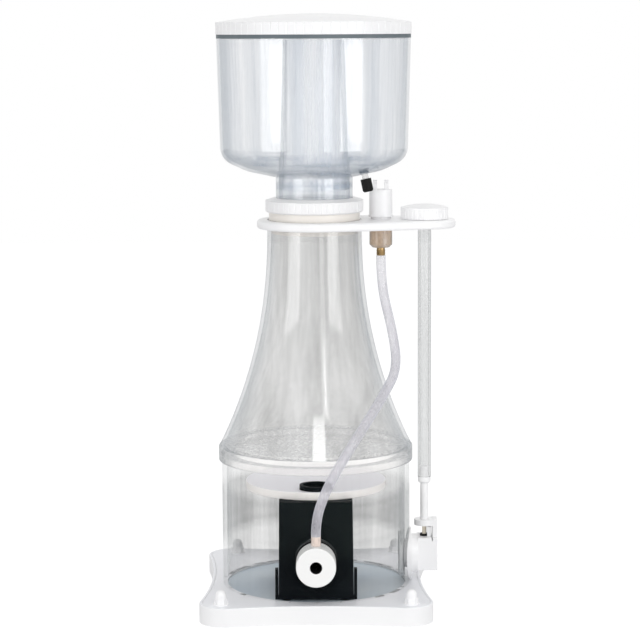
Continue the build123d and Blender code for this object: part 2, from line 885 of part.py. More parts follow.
stand_inner = pump_width + 2 * part_gap
with BuildPart() as pump_stand:
    with BuildSketch(facing_front(motor_back, stand_foot + stand_wall / 2)):
        Rectangle(pump_width, stand_wall)
    extrude(amount=motor_back - pump_front)
    with BuildSketch(facing_front(pump_front + stand_yoke_depth, stand_foot)):
        Rectangle(stand_width, stand_height, align=(Align.CENTER, Align.MIN))
        with Locations((0, stand_wall)):
            Rectangle(stand_inner, stand_height, align=(Align.CENTER, Align.MIN), mode=Mode.SUBTRACT)
    extrude(amount=stand_yoke_depth)
keep(pump_stand, "pump_stand")

pad_middle_y = (pump_front + motor_back) / 2
pad_spread_x = pump_width - 2 * pad_inset
pad_spread_y = motor_back - pump_front - 2 * pad_inset
with BuildPart() as pump_pads:
    with BuildSketch(Plane.XY.offset(floor_top)):
        with Locations((0, pad_middle_y)):
            with GridLocations(pad_spread_x, pad_spread_y, 2, 2):
                Circle(pad_radius)
    extrude(amount=pad_thickness)
keep(pump_pads, "pump_pads")

head_face = pump_block(head_back)
with BuildPart() as pump_head:
    add(head_face.sketch)
    extrude(amount=head_depth, dir=(0, -1, 0))
    with BuildSketch(facing_front(chamber_back)):
        Circle(chamber_radius)
    extrude(amount=head_depth, mode=Mode.SUBTRACT)
    with BuildSketch(facing_front(head_back)):
        Circle(wheel_hub_radius + 2 * part_gap)
    extrude(amount=chamber_wall, mode=Mode.SUBTRACT)
    with BuildSketch(Plane((0, outlet_y, pump_axis))):
        Circle(outlet_bore)
    extrude(amount=pump_top - pump_axis, mode=Mode.SUBTRACT)
    with BuildSketch(Plane((0, outlet_y, pump_top))):
        Circle(outlet_spigot_radius + bond_gap)
    extrude(amount=-outlet_spigot, mode=Mode.SUBTRACT)
keep(pump_head, "pump_head")

bush_seat = bush_radius + bond_gap
spider_hub = bush_radius + spoke_width
cover_face = pump_block(cover_back)
with BuildPart() as volute_cover:
    add(cover_face.sketch)
    extrude(amount=cover_thickness, dir=(0, -1, 0))
    with BuildSketch(facing_front(cover_back)):
        Circle(intake_radius)
    extrude(amount=cover_thickness, mode=Mode.SUBTRACT)
    with BuildSketch(facing_front(cover_back)):
        Circle(spider_hub)
        with PolarLocations(0, spoke_count, spoke_turn):
            with Locations((intake_radius / 2, 0)):
                Rectangle(intake_radius + spoke_width, spoke_width)
        Circle(bush_seat, mode=Mode.SUBTRACT)
    extrude(amount=cover_thickness)
    for groove in range(cover_grooves):
        groove_radius = chamber_radius - cover_groove_pitch * (1 - groove)
        with BuildSketch(facing_front(pump_front)):
            Circle(groove_radius + cover_groove_depth)
            Circle(groove_radius - cover_groove_depth, mode=Mode.SUBTRACT)
        extrude(amount=-cover_groove_depth, mode=Mode.SUBTRACT)
keep(volute_cover, "volute_cover")

well_end = head_back + well_depth
with BuildPart() as motor_housing:
    with BuildSketch(Plane.XZ.offset(-motor_back)):
        with Locations((0, pump_foot + motor_height / 2)):
            Rectangle(motor_width, motor_height)
    extrude(amount=motor_depth)
    fillet(edges().filter_by(Axis.Y), motor_edge)
    for side in (-1, 1):
        with BuildSketch(Plane.XY.offset(stand_foot + stand_height + motor_edge)):
            with Locations((side * motor_width / 2, (head_back + motor_back) / 2)):
                with GridLocations(0, motor_fin_pitch, 1, motor_fins):
                    Rectangle(2 * motor_fin_depth, motor_fin_slot)
        extrude(amount=motor_height - stand_height - 2 * motor_edge, mode=Mode.SUBTRACT)
    with BuildSketch(facing_front(well_end)):
        Circle(well_radius)
    extrude(amount=well_depth, mode=Mode.SUBTRACT)
    with BuildSketch(facing_front(well_end)):
        Circle(rear_bush_radius + bond_gap)
    extrude(amount=-bush_length, mode=Mode.SUBTRACT)
keep(motor_housing, "motor_housing")

gland_z = pump_foot + motor_height - gland_hex_radius - motor_edge
with BuildPart() as cable_gland:
    with BuildSketch(facing_front(motor_back, gland_z)):
        RegularPolygon(gland_hex_radius, 6)
    extrude(amount=-gland_hex_length)
    with BuildSketch(facing_front(motor_back + gland_hex_length, gland_z)):
        Circle(gland_radius)
    extrude(amount=-gland_length)
    fillet(edges().group_by(Axis.Y)[-1], gland_edge)
keep(cable_gland, "cable_gland")

spigot_foot = pump_top - outlet_spigot
disc_radius = tube_inner - disc_gap
with BuildPart() as pump_outlet:
    with BuildSketch(Plane((0, outlet_y, spigot_foot))):
        Circle(outlet_spigot_radius)
    extrude(amount=outlet_spigot)
    with BuildSketch(Plane((0, outlet_y, pump_top))):
        Circle(outlet_radius)
    extrude(amount=disc_thickness + outlet_rise)
    with BuildSketch(Plane((0, outlet_y, spigot_foot))):
        Circle(outlet_bore)
    extrude(amount=outlet_spigot + disc_thickness + outlet_rise, mode=Mode.SUBTRACT)
keep(pump_outlet, "pump_outlet")

with BuildPart() as diffuser_disc:
    with BuildSketch(Plane.XY.offset(pump_top)):
        Circle(disc_radius)
    extrude(amount=disc_thickness)
    fillet(edges(), disc_edge)
    with BuildSketch(Plane((0, outlet_y, pump_top))):
        Circle(outlet_radius + part_gap)
    extrude(amount=disc_thickness, mode=Mode.SUBTRACT)
keep(diffuser_disc, "diffuser_disc")

# ---------------------------------------------------------------- rotor, its shaft and bushes
shaft_front = pump_front + part_gap
shaft_back = well_end + bush_length - part_gap
pump_shaft = ring(facing_front(shaft_back), shaft_radius, 0, shaft_back - shaft_front)
keep(pump_shaft, "pump_shaft")

with BuildPart() as shaft_bushes:
    with BuildSketch(facing_front(cover_back)):
        Circle(bush_radius)
        Circle(shaft_radius + bond_gap, mode=Mode.SUBTRACT)
    extrude(amount=bush_length)
    with BuildSketch(facing_front(well_end + bush_length)):
        Circle(rear_bush_radius)
        Circle(shaft_radius + bond_gap, mode=Mode.SUBTRACT)
    extrude(amount=bush_length)
keep(shaft_bushes, "shaft_bushes")

rotor_bore = shaft_radius + run_gap
magnet_back = well_end - 2 * part_gap
magnet_front = magnet_back - magnet_length
rotor_magnet = ring(facing_front(magnet_back), magnet_radius, rotor_bore, magnet_length)
keep(rotor_magnet, "rotor_magnet")

wheel_disc_back = chamber_back - 2 * part_gap
wheel_disc_front = wheel_disc_back - wheel_disc_thickness
with BuildPart() as needle_wheel:
    with BuildSketch(facing_front(magnet_front)):
        Circle(wheel_hub_radius)
    extrude(amount=wheel_hub_length)
    with BuildSketch(facing_front(wheel_disc_back)):
        Circle(wheel_disc_radius)
    extrude(amount=wheel_disc_thickness)
    with BuildSketch(facing_front(wheel_disc_front)):
        for needle_ring in range(needle_rings):
            ring_at = wheel_disc_radius - needle_inset - needle_ring * needle_ring_pitch
            with PolarLocations(ring_at, needle_step * (needle_rings - needle_ring)):
                Circle(needle_radius)
    extrude(amount=needle_length)
    with BuildSketch(facing_front(magnet_front)):
        Circle(rotor_bore)
    extrude(amount=wheel_hub_length, mode=Mode.SUBTRACT)
keep(needle_wheel, "needle_wheel")

# ================================================================ venturi
venturi_face = -(tube_radius + venturi_reach)
venturi_length = pump_front - venturi_face
pump_line = Axis((0, 0, pump_axis), (0, 1, 0))
first_groove = -(tube_radius + groove_reach)
with BuildPart() as venturi_body:
    with BuildSketch(facing_front(pump_front)):
        Circle(venturi_radius)
    extrude(amount=venturi_length)
    fillet(edges().sort_by(Axis.Y)[0], venturi_edge)
    for groove_y in (first_groove, first_groove - groove_pitch):
        with BuildSketch(facing_front(groove_y)):
            Circle(ring_radius)
            Circle(venturi_radius - groove_depth, mode=Mode.SUBTRACT)
        extrude(amount=groove_width, mode=Mode.SUBTRACT)
    with BuildSketch(facing_front(pump_front)):
        Circle(venturi_bore)
    extrude(amount=venturi_length, mode=Mode.SUBTRACT)
    with BuildSketch(Plane.YZ):
        with BuildLine():
            Polyline(
                (venturi_face + venturi_bore_depth, pump_axis),
                (venturi_face + venturi_bore_depth, pump_axis + venturi_bore),
                (pump_front, pump_axis + intake_radius),
                (pump_front, pump_axis),
                close=True,
            )
        make_face()
    revolve(axis=pump_line, mode=Mode.SUBTRACT)
    with BuildSketch(Plane((0, -(tube_radius + hose_tail_reach), pump_axis))):
        Circle(hose_tail_spigot_radius + bond_gap)
    extrude(amount=venturi_radius, mode=Mode.SUBTRACT)
keep(venturi_body, "venturi_body")

hose_tail_foot = pump_axis + venturi_radius
hose_tail_top = hose_tail_foot + hose_tail_height


def on_hose_tail(z):
    """Level plane centred on the venturi's hose tail."""
    return Plane((0, -(tube_radius + hose_tail_reach), z))


with BuildPart() as venturi_nipple:
    with BuildSketch(on_hose_tail(hose_tail_foot - hose_tail_spigot)):
        Circle(hose_tail_spigot_radius)
    extrude(amount=hose_tail_spigot)
    with BuildSketch(on_hose_tail(hose_tail_foot)):
        Circle(hose_radius)
    extrude(amount=hose_tail_height)
    with BuildSketch(on_hose_tail(hose_tail_foot - hose_tail_spigot)):
        Circle(hose_tail_bore)
    extrude(amount=hose_tail_spigot + hose_tail_height, mode=Mode.SUBTRACT)
keep(venturi_nipple, "venturi_nipple")

seal_drop = tube_inner - sqrt(tube_inner ** 2 - seal_radius ** 2)
intake_seal = ring(
    facing_front(seal_drop + seal_proud - tube_inner),
    seal_radius,
    venturi_radius + bond_gap,
    tube_wall + seal_drop + 2 * seal_proud,
)
keep(intake_seal, "intake_seal")

# ================================================================ air hose
hose_points = [Vector(*point) for point in hose_route]
hose_points[0] = Vector(air_valve_x, 0, barb_foot)
hose_points[-1] = Vector(0, -(tube_radius + hose_tail_reach), hose_tail_top)


def corner_radius(before, corner, after):
    """Largest arc that takes a set share of the shorter run at a corner."""
    shorter = min((corner - before).length, (after - corner).length)
    turn = (corner - before).get_angle(after - corner)
    return arc_share * shorter / tan(radians(turn) / 2)


hose_radii = [
    corner_radius(hose_points[i - 1], hose_points[i], hose_points[i + 1])
    for i in range(1, len(hose_points) - 1)
]
with BuildPart() as air_hose:
    with BuildLine() as hose_path:
        FilletPolyline(*hose_points, radius=hose_radii)
    with BuildSketch(Plane(hose_points[0], z_dir=hose_points[1] - hose_points[0])):
        Circle(hose_radius)
    sweep()
keep(air_hose, "air_hose")
hose_length = sum(edge.length for edge in hose_path.edges())
print("hose arcs:", [round(radius, 1) for radius in hose_radii])
print("hose length:", round(hose_length, 1))
print("hose volume:", round(air_hose.part.volume), "=", round(pi * hose_radius ** 2 * hose_length))

# ================================================================ level valve
backing_face = tube_radius - backing_reach
saddle_face = tube_radius + saddle_thickness
block_face = shaft_x - block_left
block_back = shaft_x + block_right
block_top = port_z + block_above
yoke_face = block_back + yoke_thickness

with BuildPart() as outlet_flange:
    with BuildSketch(facing_right(backing_face)):
        Circle(saddle_radius)
    extrude(amount=saddle_face - backing_face)
    with BuildSketch(Plane.XY.offset(base_top)):
        Circle(tube_radius + bond_gap)
    extrude(amount=tube_height, mode=Mode.SUBTRACT)
    with BuildSketch(facing_right(saddle_face)):
        Circle(stub_radius)
    extrude(amount=block_face - saddle_face)
    with BuildSketch(facing_right(backing_face)):
        Circle(spigot_radius)
    extrude(amount=block_face - backing_face)
    with BuildSketch(facing_right(backing_face)):
        Circle(port_radius)
    extrude(amount=block_face - backing_face, mode=Mode.SUBTRACT)
keep(outlet_flange, "outlet_flange")

with BuildPart() as outlet_backing:
    with BuildSketch(facing_right(backing_face)):
        Circle(backing_radius)
        Circle(spigot_radius + bond_gap, mode=Mode.SUBTRACT)
    extrude(amount=backing_reach)
    with BuildSketch(Plane.XY.offset(base_top)):
        Circle(tube_inner - bond_gap)
    extrude(amount=tube_height, mode=Mode.INTERSECT)
keep(outlet_backing, "outlet_backing")

tongue_x = shaft_x + tongue_left + tongue_thickness / 2
slot_x = shaft_x + tongue_left + tongue_thickness
stem_foot = port_z - port_radius - stem_below
with BuildPart() as valve_body:
    with BuildSketch(facing_right(block_face)):
        with Locations((0, (block_above - block_below) / 2)):
            Rectangle(block_depth, block_above + block_below)
    extrude(amount=block_back - block_face)
    fillet(edges().filter_by(Axis.X), yoke_edge)
    with BuildSketch(Plane((tongue_x, 0, block_top))):
        Rectangle(tongue_thickness, tongue_depth)
    extrude(amount=tongue_height)
    with BuildSketch(Plane((shaft_x, 0, block_top))):
        Circle(stem_seal_radius + part_gap)
    extrude(amount=stem_seal_thickness + part_gap, mode=Mode.SUBTRACT)
    with BuildSketch(Plane((slot_x, 0, block_top))):
        Rectangle(2 * (block_back - slot_x), block_depth, align=(Align.MIN, Align.CENTER))
    extrude(amount=-slot_depth, mode=Mode.SUBTRACT)
    with BuildSketch(facing_right(block_face)):
        Circle(port_radius)
    extrude(amount=block_back - block_face, mode=Mode.SUBTRACT)
    with BuildSketch(Plane((shaft_x, 0, stem_foot))):
        Circle(stem_radius + run_gap)
    extrude(amount=block_top - stem_foot, mode=Mode.SUBTRACT)
keep(valve_body, "valve_body")

plate_foot = block_top + yoke_plate_rise
plate_top = plate_foot + yoke_plate_thickness
with BuildPart() as valve_yoke:
    with BuildSketch(facing_right(block_back)):
        with Locations((0, (block_above - block_below) / 2)):
            Rectangle(block_depth, block_above + block_below)
    extrude(amount=yoke_thickness)
    fillet(edges().filter_by(Axis.X), yoke_edge)
    with BuildSketch(facing_right(block_back)):
        with Locations((0, (block_top + plate_top) / 2 - port_z)):
            Rectangle(yoke_arm_depth, plate_top - block_top + 2 * yoke_edge)
    extrude(amount=yoke_thickness)
    with BuildSketch(Plane((shaft_x, 0, plate_foot))):
        Circle(yoke_plate_radius)
        Rectangle(yoke_face - shaft_x, yoke_arm_depth, align=(Align.MIN, Align.CENTER))
    extrude(amount=yoke_plate_thickness)
    with BuildSketch(Plane((shaft_x, 0, plate_foot))):
        Circle(rod_radius + run_gap)
    extrude(amount=yoke_plate_thickness, mode=Mode.SUBTRACT)
    with BuildSketch(facing_right(block_back)):
        Circle(port_radius)
    extrude(amount=yoke_thickness, mode=Mode.SUBTRACT)
keep(valve_yoke, "valve_yoke")

stem_seal = ring(
    Plane((shaft_x, 0, block_top)), stem_seal_radius, stem_radius + part_gap, stem_seal_thickness
)
keep(stem_seal, "stem_seal")

# ---------------------------------------------------------------- level shaft
rod_foot = plate_foot
rod_head = base_top + rod_top
ferrule_top = rod_head + ferrule_height
knob_foot = bracket_top + part_gap
hub_foot = knob_foot + bush_flange_thickness
knob_side = knob_foot + knob_side_height
knob_crown = knob_side + knob_dome_height
rod_tube_top = knob_side + knob_dome_height - knob_top - part_gap
stem_top = rod_foot + stem_reach


def on_shaft(z):
    """Level plane centred on the level shaft."""
    return Plane((shaft_x, 0, z))


valve_stem = ring(on_shaft(stem_foot + part_gap), stem_radius, 0, stem_top - stem_foot - part_gap)
keep(valve_stem, "valve_stem")

butterfly_radius = port_radius - part_gap
with BuildPart() as valve_disc:
    with BuildSketch(Plane.XZ.offset(-butterfly_thickness / 2)):
        with Locations((shaft_x, port_z)):
            Circle(butterfly_radius)
    extrude(amount=butterfly_thickness)
    with BuildSketch(on_shaft(port_z - butterfly_radius + 2 * part_gap)):
        Circle(butterfly_hub_radius)
    extrude(amount=2 * butterfly_radius - 4 * part_gap)
    with BuildSketch(on_shaft(port_z - butterfly_radius)):
        Circle(stem_radius + bond_gap)
    extrude(amount=2 * butterfly_radius, mode=Mode.SUBTRACT)
keep(valve_disc, "valve_disc")

with BuildPart() as shaft_plug:
    with BuildSketch(on_shaft(rod_foot)):
        Circle(rod_radius)
    extrude(amount=rod_head - rod_foot)
    with BuildSketch(on_shaft(rod_head)):
        Circle(ferrule_radius)
    extrude(amount=ferrule_height)
    ferrule_foot = edges().filter_by(GeomType.CIRCLE).group_by(Axis.Z)[1]
    chamfer(ferrule_foot.sort_by(SortBy.RADIUS)[-1], ferrule_edge)
    with BuildSketch(on_shaft(ferrule_top)):
        Circle(rod_tube_radius - rod_tube_wall - bond_gap)
    extrude(amount=ferrule_spigot)
    with BuildSketch(on_shaft(rod_foot)):
        Circle(stem_radius + bond_gap)
    extrude(amount=stem_reach + part_gap, mode=Mode.SUBTRACT)
keep(shaft_plug, "shaft_plug")

shaft_tube = ring(
    on_shaft(ferrule_top), rod_tube_radius, rod_tube_radius - rod_tube_wall, rod_tube_top - ferrule_top
)
keep(shaft_tube, "shaft_tube")

bush_bore = rod_tube_radius + run_gap
with BuildPart() as shaft_bush:
    with BuildSketch(on_shaft(bracket_bottom)):
        Circle(bush_bore + bush_wall)
    extrude(amount=bracket_thickness)
    with BuildSketch(on_shaft(bracket_top)):
        Circle(bush_flange_radius)
    extrude(amount=bush_flange_thickness)
    with BuildSketch(on_shaft(bracket_bottom)):
        Circle(bush_bore)
    extrude(amount=bracket_thickness + bush_flange_thickness, mode=Mode.SUBTRACT)
keep(shaft_bush, "shaft_bush")

knob_dome_bend = (knob_radius ** 2 + knob_dome_height ** 2) / (2 * knob_dome_height)
with BuildPart() as adjust_knob:
    with BuildSketch(Plane.XZ.shift_origin((shaft_x, 0, 0))):
        with BuildLine():
            Polyline((0, knob_crown), (0, knob_foot), (knob_radius, knob_foot), (knob_radius, knob_side))
            RadiusArc((knob_radius, knob_side), (0, knob_crown), -knob_dome_bend)
        make_face()
    revolve(axis=Axis((shaft_x, 0, 0), (0, 0, 1)))
    with BuildSketch(on_shaft(knob_foot)):
        Circle(knob_radius - knob_wall)
        Circle(knob_hub_radius, mode=Mode.SUBTRACT)
    extrude(amount=knob_side_height - knob_wall, mode=Mode.SUBTRACT)
    with BuildSketch(on_shaft(knob_foot)):
        Circle(knob_hub_radius)
    extrude(amount=hub_foot - knob_foot, mode=Mode.SUBTRACT)
    with BuildSketch(on_shaft(knob_foot)):
        Circle(rod_tube_radius + bond_gap)
    extrude(amount=rod_tube_top - knob_foot + part_gap, mode=Mode.SUBTRACT)
    with BuildSketch(on_shaft(knob_foot)):
        with PolarLocations(knob_radius + knob_flute_radius / 2, knob_flutes):
            Circle(knob_flute_radius)
    extrude(amount=knob_side_height - knob_wall / 2, mode=Mode.SUBTRACT)
keep(adjust_knob, "adjust_knob")
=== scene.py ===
from math import radians

import bpy
from mathutils import Matrix, Vector


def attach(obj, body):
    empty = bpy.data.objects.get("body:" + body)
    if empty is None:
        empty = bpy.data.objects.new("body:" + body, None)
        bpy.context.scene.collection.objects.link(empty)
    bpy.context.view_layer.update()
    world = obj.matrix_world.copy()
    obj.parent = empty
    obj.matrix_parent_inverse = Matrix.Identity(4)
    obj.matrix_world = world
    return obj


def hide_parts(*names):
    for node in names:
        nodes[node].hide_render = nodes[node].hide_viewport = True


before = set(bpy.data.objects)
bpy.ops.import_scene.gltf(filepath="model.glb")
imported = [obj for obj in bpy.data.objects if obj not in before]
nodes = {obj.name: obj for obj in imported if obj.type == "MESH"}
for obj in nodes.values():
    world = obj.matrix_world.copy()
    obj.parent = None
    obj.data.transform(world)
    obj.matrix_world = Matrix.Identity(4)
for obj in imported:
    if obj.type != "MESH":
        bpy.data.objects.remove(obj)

scene = bpy.context.scene
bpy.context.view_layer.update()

# ---------------------------------------------------------------- camera
FRAME_SIDE = 640
FOCAL_PX = 2225.0
SENSOR = 36.0
CAMERA_AT = Vector((0.0053, -2.335, 0.608))
CAMERA_PITCH = 7.48
CAMERA_ROLL = -0.29

camera_data = bpy.data.cameras.new("camera")
camera_data.sensor_width = SENSOR
camera_data.lens = FOCAL_PX * SENSOR / FRAME_SIDE
camera = bpy.data.objects.new("camera", camera_data)
scene.collection.objects.link(camera)
camera.matrix_world = (
    Matrix.Translation(CAMERA_AT)
    @ Matrix.Rotation(radians(90 - CAMERA_PITCH), 4, "X")
    @ Matrix.Rotation(radians(CAMERA_ROLL), 4, "Z")
)
scene.camera = camera
scene.view_settings.view_transform = "Standard"
scene.cycles.transparent_max_bounces = 32


# ---------------------------------------------------------------- node helpers
SHARE = (0, 1)
NOISE_SPAN = (0.3, 0.7)          # where noise has nearly all of its values
FACING_UP = (0.4, 0.9)           # upward part of a normal, from steep faces to level ones


class Graph:
    """A cleared node tree, with short ways to add nodes and feed them."""

    def __init__(self, tree):
        self.tree = tree
        tree.nodes.clear()

    def feed(self, socket, value):
        """Set a socket to a number, vector or colour, or link another node's output to it."""
        if isinstance(value, bpy.types.NodeSocket):
            self.tree.links.new(value, socket)
        elif socket.type == "RGBA":
            socket.default_value = (*value, 1)
        else:
            socket.default_value = value

    def node(self, kind, inputs=None, **settings):
        """A node with its settings made and its inputs fed, by name or by number."""
        made = self.tree.nodes.new(kind)
        for key, value in settings.items():
            setattr(made, key, value)
        for key, value in (inputs or {}).items():
            self.feed(made.inputs[key], value)
        return made

    def maths(self, operation, *values):
        return self.node("ShaderNodeMath", dict(enumerate(values)), operation=operation).outputs[0]

    def ranged(self, value, to=SHARE, span=NOISE_SPAN):
        """value, mapped from a span to the range in to and held there."""
        inputs = {
            "Value": value,
            "From Min": span[0],
            "From Max": span[1],
            "To Min": to[0],
            "To Max": to[1],
        }
        return self.node("ShaderNodeMapRange", inputs).outputs[0]

    def parts(self, vector):
        """The x, y and z of a vector."""
        return self.node("ShaderNodeSeparateXYZ", {0: vector}).outputs


class Look(Graph):
    """One procedural material, with the object's own coordinates as its texture space."""

    def __init__(self, name):
        self.material = bpy.data.materials.new(name)
        self.material.use_nodes = True
        super().__init__(self.material.node_tree)
        self.shader = self.node("ShaderNodeBsdfPrincipled")
        self.output = self.node("ShaderNodeOutputMaterial", {"Surface": self.shader.outputs[0]})
        self.coords = self.node("ShaderNodeTexCoord").outputs["Object"]

    def noise(self, scale, detail=3.0, stretch=(1, 1, 1)):
        """Noise, scale in features per metre, stretched along an axis by a small number."""
        place = self.node("ShaderNodeMapping", {"Vector": self.coords, "Scale": stretch})
        inputs = {"Vector": place.outputs[0], "Scale": scale, "Detail": detail}
        return self.node("ShaderNodeTexNoise", inputs).outputs[0]

    def mix(self, share, first, second):
        """Colour between first and second, each a colour or an output."""
        inputs = {"Factor": share, 6: first, 7: second}
        return self.node("ShaderNodeMix", inputs, data_type="RGBA").outputs[2]

    def facing(self):
        """0 where the surface faces the viewer, 1 at its outline."""
        return self.node("ShaderNodeLayerWeight", {"Blend": 0.5}).outputs["Facing"]

    def upward(self):
        """1 on surfaces that face up, 0 on upright ones."""
        normal = self.node("ShaderNodeNewGeometry").outputs["Normal"]
        return self.ranged(self.parts(normal)[2], span=FACING_UP)

    def surface(self, inputs):
        """Feed the shader's own inputs, by name."""
        for name, value in inputs.items():
            self.feed(self.shader.inputs[name], value)

    def bump(self, height, strength, distance):
        inputs = {"Height": height, "Strength": strength, "Distance": distance}
        self.surface({"Normal": self.node("ShaderNodeBump", inputs).outputs[0]})


# Noise scales are in features per metre, and depths in metres.
CLOUDS = 14
MARKS = 60
GRAIN = 900
GRAIN_DEPTH = 0.0002
HANDLED = (0.28, 0.42)
PLAIN_SHINE = 0.5


def moulded(look, rough=HANDLED, grain=GRAIN, bump=0.12, shine=PLAIN_SHINE):
    """Handling marks in the gloss and a fine grain, on a look that has its colour."""
    look.surface({
        "Roughness": look.ranged(look.noise(MARKS, detail=6), rough),
        "Specular IOR Level": shine,
    })
    look.bump(look.noise(grain, detail=2), bump, GRAIN_DEPTH)
    return look.material


def plastic(name, body, worn, top=None, **moulding):
    """Opaque plastic: faint clouding, and, if a top colour is given, that colour on its upper
    faces as a painted tint of light from above.
    """
    look = Look(name)
    tone = look.mix(look.ranged(look.noise(CLOUDS, detail=4)), body, worn)
    # Painted light: faces that look up take the top colour.
    if top:
        tone = look.mix(look.upward(), tone, top)
    look.surface({"Base Color": tone})
    return moulded(look, **moulding)


GROOVE_TURN = 1140               # radians per metre from front to back: a painted groove shade line every 5.5 mm
GROOVE_SPAN = (0.55, 0.85)
PAINTED_GROOVE_SHADE = (0.58, 0.58, 0.57)
BORE_EDGE = 1.04


def bored(name, body, painted_bore_shade, radius, height):
    """White turned moulding, with painted shade lines for grooves round a front-to-back axis, and
    painted shade in its bore.
    """
    look = Look(name)
    x, y, z = look.parts(look.coords)
    rise = look.maths("SUBTRACT", z, height)
    squares = look.maths("MULTIPLY", x, x), look.maths("MULTIPLY", rise, rise)
    away = look.maths("SQRT", look.maths("ADD", *squares))
    turned = look.maths("SINE", look.maths("MULTIPLY", y, GROOVE_TURN))
    face = look.mix(look.ranged(turned, span=GROOVE_SPAN), body, PAINTED_GROOVE_SHADE)
    outside = look.ranged(away, span=(radius, radius * BORE_EDGE))
    look.surface({"Base Color": look.mix(outside, painted_bore_shade, face)})
    return moulded(look)


TARNISH = 120
TURNING = 700
TURNING_STRETCH = (1, 1, 12)
TURNING_DEPTH = 0.0001


def metal(name, body, worn, rough):
    """Turned metal: tarnish in patches, and fine tool marks round its upright axis."""
    look = Look(name)
    turned = look.noise(TURNING, stretch=TURNING_STRETCH)
    look.surface({
        "Metallic": 1.0,
        "Base Color": look.mix(look.ranged(look.noise(TARNISH, detail=4)), body, worn),
        "Roughness": look.ranged(turned, rough),
    })
    look.bump(turned, 0.15, TURNING_DEPTH)
    return look.material


ACRYLIC_IOR = 1.49
SMEARS = 80
WALL_DEPTH = 0.0006
STREAK_SPAN = (0.38, 0.62)
FINER = 7                        # fine streaks to one broad streak
MIRROR_SHARE = (0.045, 0.16)     # of a full surface gloss, face on and at the outline
BAND_EDGE = 0.012                # metres over which a denser band sets in and ends
LEVEL_LINES = 150
LEVEL_STRETCH = (0.02, 0.02, 1)
LEVEL_SPAN = (0.4, 0.6)
# Spans of facing(), 0 face on to 1 at the outline, over which each property changes.
DENSE_SPAN = (0.3, 1.0)
EDGE_SPAN = (0.35, 0.85)
RIM_SPAN = (0.5, 0.85)
MIRROR_SPAN = (0.5, 1.0)


def dense_band(look, dense, low, high, share, swing):
    """dense, raised by share between two heights, more or less by swing in level lines."""
    height = look.parts(look.coords)[2]
    level = look.noise(LEVEL_LINES, 2, LEVEL_STRETCH)
    level = look.ranged(level, (share * (1 - swing), share * (1 + swing)), LEVEL_SPAN)
    within = look.maths(
        "MULTIPLY",
        look.ranged(height, (0, 1), (low - BAND_EDGE, low)),
        look.ranged(height, (1, 0), (high - BAND_EDGE, high)),
    )
    more = look.maths("MULTIPLY", within, look.maths("SUBTRACT", level, 1))
    return look.maths("MULTIPLY", dense, look.maths("ADD", more, 1))


def clear(
    name, body, edge, alpha, streak, gloss=0.06, rough=(0.05, 0.12), drawn_scale=42, band=None,
    shine=PLAIN_SHINE, grain=(0.72, 1.32), lines=(0.86, 1.16), rim=0.0, mirror=None,
):
    """Clear plastic: nearly open face on, denser to its outline, streaked, and open to light.

    alpha is the density face on and at the outline, and rim an extra density of the outline.
    A small streak draws the streaks out upward: broad ones vary by grain, fine ones by lines.
    A denser band between two heights takes the last four values of its function, and mirror the
    roughness of a full gloss.
    """
    look = Look(name)
    side = look.facing()
    along = (1, 1, streak)
    drawn = look.noise(drawn_scale, 3, along)
    broad = look.ranged(drawn, grain, STREAK_SPAN)
    fine = look.ranged(look.noise(FINER * drawn_scale, 2, along), lines, STREAK_SPAN)
    dense = look.ranged(side, alpha, DENSE_SPAN)
    dense = look.maths("MULTIPLY", dense, look.maths("MULTIPLY", broad, fine))
    if band:
        dense = dense_band(look, dense, *band)
    if rim:
        dense = look.maths("ADD", dense, look.ranged(side, (0, rim), RIM_SPAN))
    look.surface({
        "Base Color": look.mix(look.ranged(side, span=EDGE_SPAN), body, edge),
        "Alpha": dense,
        "Roughness": look.ranged(look.noise(SMEARS, 4, along), rough),
        "IOR": ACRYLIC_IOR,
        "Specular IOR Level": shine,
    })
    look.bump(drawn, gloss, WALL_DEPTH)
    surface = look.shader.outputs[0]
    if mirror:
        glossy = look.node("ShaderNodeBsdfGlossy", {"Roughness": mirror}).outputs[0]
        share = look.ranged(side, MIRROR_SHARE, MIRROR_SPAN)
        surface = look.node("ShaderNodeMixShader", {0: share, 1: surface, 2: glossy}).outputs[0]
    rays = look.node("ShaderNodeLightPath").outputs
    lit = look.maths("MAXIMUM", rays["Is Shadow Ray"], rays["Is Diffuse Ray"])
    opened = look.node("ShaderNodeBsdfTransparent").outputs[0]
    passing = look.node("ShaderNodeMixShader", {0: lit, 1: surface, 2: opened}).outputs[0]
    look.feed(look.output.inputs["Surface"], passing)
    return look.material


